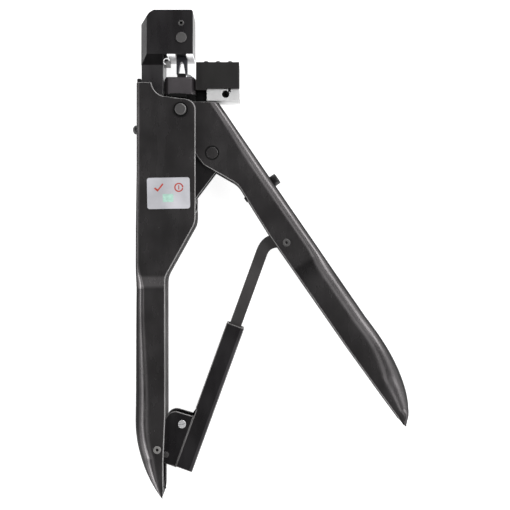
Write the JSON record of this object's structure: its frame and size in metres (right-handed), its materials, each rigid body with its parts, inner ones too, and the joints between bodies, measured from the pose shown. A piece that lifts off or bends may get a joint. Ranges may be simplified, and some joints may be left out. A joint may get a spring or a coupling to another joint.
{
  "type": "crimping tool",
  "caption": "Hand crimping tool with pressed channel handles, a toggle-driven crimping head over a fixed anvil, a terminal locator and a full-cycle ratchet rod.",
  "frame": {"origin": "on the main pivot's axis, in the plane of the rear cheek that the tool lies on", "axes": "+Z out of the resting plane along every hinge axis, +Y from the pivot towards the crimping head, +X towards the moving handle"},
  "size_m": [0.1404, 0.245, 0.0262],
  "materials": {
    "black_steel": "black semi-gloss finish on pressed steel",
    "black_oxide": "black oxide on machined steel, satin",
    "holder_steel": "black oxide on ground steel, satin",
    "tool_steel": "ground and blued tool steel",
    "pin_steel": "blued steel",
    "bright_steel": "bright steel, lightly polished",
    "aluminium": "bare machined aluminium",
    "spring_steel": "spring wire, oiled",
    "label": "silver-grey printed label"
  },
  "bodies": {
    "fixed_handle": {"fixed_handle": "black_steel", "main_pivot_pin": "pin_steel", "pivot_retaining_ring": "black_oxide", "die_base": "black_oxide", "anvil_holder": "holder_steel", "anvil": "tool_steel", "anvil_guard": "black_oxide", "stop_finger": "bright_steel", "guide_screw": "black_oxide", "locator_bracket": "black_oxide", "locator_block": "black_oxide", "locator_screws": "black_oxide", "locator_bar": "aluminium", "locator_bar_screw": "black_oxide", "housing_pin": "bright_steel", "inspection_label": "label"},
    "moving_handle": {"moving_handle": "black_steel", "link_pin": "pin_steel", "stop_screw": "black_oxide", "stop_screw_nut": "pin_steel", "return_spring": "spring_steel", "rod_pins": "pin_steel"},
    "toggle_link": {"front_link_plate": "black_oxide", "rear_link_plate": "black_oxide", "link_spacer": "black_oxide", "draw_pin": "pin_steel"},
    "crimping_head": {"head_frame": "black_oxide", "crimper": "tool_steel", "crimper_bolt": "pin_steel", "head_dowel": "pin_steel", "guide_plate": "bright_steel", "hook_spring": "bright_steel"},
    "ratchet_housing": {"ratchet_housing": "black_oxide", "housing_bush": "pin_steel", "pawl_screw": "bright_steel", "pawl_spring": "spring_steel", "plate_rivet": "pin_steel"},
    "pawl": {"pawl": "pin_steel"},
    "ratchet_rod": {"ratchet_rod": "black_oxide"}
  },
  "joints": [
    {"name": "handle_squeeze", "type": "hinge", "parent": "fixed_handle", "child": "moving_handle", "pos_m": [0, 0, 0.012], "axis": [0, 0, -1], "range_deg": [0, 27], "stiffness_Nm_per_rad": 1.5, "springref_deg": -5.73},
    {"name": "link_swing", "type": "hinge", "parent": "moving_handle", "child": "toggle_link", "pos_m": [0.0156, -0.02145, 0.012], "axis": [0, 0, 1], "range_deg": [0, 50.1]},
    {"name": "head_slide", "type": "slide", "parent": "fixed_handle", "child": "crimping_head", "axis": [0, -1, 0], "range_m": [0, 0.0073]},
    {"name": "housing_swing", "type": "hinge", "parent": "fixed_handle", "child": "ratchet_housing", "pos_m": [-0.01185, -0.1705, 0.012], "axis": [0, 0, 1], "range_deg": [0, 17.85]},
    {"name": "rod_slide", "type": "slide", "parent": "ratchet_housing", "child": "ratchet_rod", "axis": [-0.342, -0.9397, 0], "range_m": [0, 0.03172]},
    {"name": "pawl_lift", "type": "hinge", "parent": "ratchet_housing", "child": "pawl", "pos_m": [0.00029, -0.15831, 0.012], "axis": [0, 0, 1], "range_deg": [0, 8], "stiffness_Nm_per_rad": 0.02, "springref_deg": -5.73}
  ],
  "couplings": [
    {"joint": "link_swing", "follows": "handle_squeeze", "ratio": 1.8491},
    {"joint": "head_slide", "follows": "handle_squeeze", "m_per_rad": 0.015385},
    {"joint": "housing_swing", "follows": "handle_squeeze", "ratio": 0.6575},
    {"joint": "rod_slide", "follows": "handle_squeeze", "m_per_rad": 0.06709}
  ]
}
